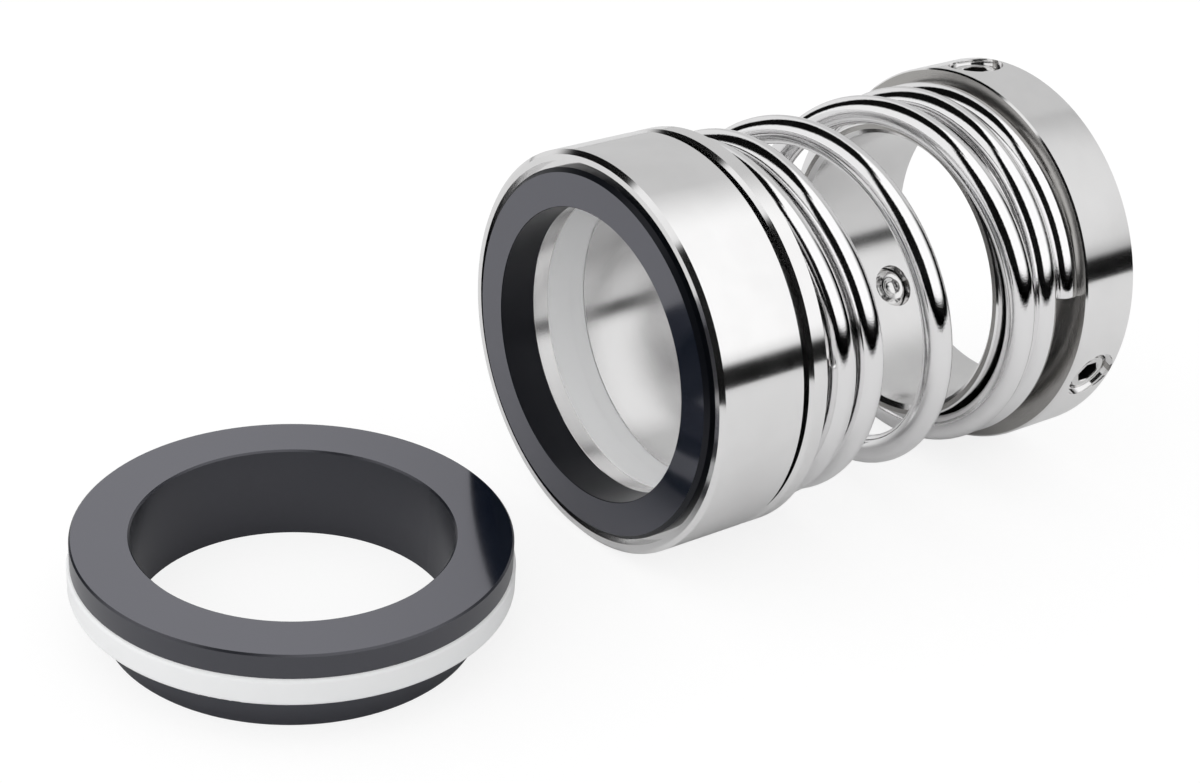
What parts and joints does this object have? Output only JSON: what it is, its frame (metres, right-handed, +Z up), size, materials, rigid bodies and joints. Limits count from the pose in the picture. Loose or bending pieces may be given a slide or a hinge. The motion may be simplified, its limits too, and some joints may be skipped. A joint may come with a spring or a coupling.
{
  "type": "mechanical shaft seal",
  "caption": "Single-spring mechanical shaft seal: rotary head with seal face, wedge ring, spring and clamp collar, lying beside its stationary seat with gasket.",
  "frame": {"origin": "on the shaft axis of the rotary head, in the plane of the collar's set screws", "axes": "+X along the shaft from the seal face to the collar, +Z up from the floor that both groups of pieces lie on, +Y away from the side that the picture shows"},
  "size_m": [0.1828, 0.0722, 0.0688],
  "materials": {
    "stainless": "turned and polished stainless steel",
    "spring_wire": "bright drawn stainless wire",
    "screw_steel": "bright stainless steel",
    "hard_face": "lapped silicon carbide, dark blue-grey",
    "soft_white": "satin white fluoropolymer"
  },
  "bodies": {
    "collar": {"collar": "stainless", "spring": "spring_wire", "seat_ring": "hard_face", "seat_gasket": "soft_white"},
    "face_unit": {"face_ring": "hard_face", "housing": "stainless", "wedge_ring": "soft_white", "thrust_ring": "stainless"},
    "set_screw_1": {"set_screw_1": "screw_steel"},
    "set_screw_2": {"set_screw_2": "screw_steel"},
    "set_screw_3": {"set_screw_3": "screw_steel"}
  },
  "joints": [
    {"name": "face_slide", "type": "slide", "parent": "collar", "child": "face_unit", "axis": [1, 0, 0], "range_m": [0, 0.02], "stiffness_N_per_m": 8800, "deforming": ["spring"]},
    {"name": "set_screw_1_feed", "type": "slide", "parent": "collar", "child": "set_screw_1", "axis": [0, -0.1736, -0.9848], "range_m": [-0.003, 0.0018]},
    {"name": "set_screw_2_feed", "type": "slide", "parent": "collar", "child": "set_screw_2", "axis": [0, 0.9397, 0.342], "range_m": [-0.003, 0.0018]},
    {"name": "set_screw_3_feed", "type": "slide", "parent": "collar", "child": "set_screw_3", "axis": [0, -0.766, 0.6428], "range_m": [-0.003, 0.0018]}
  ]
}
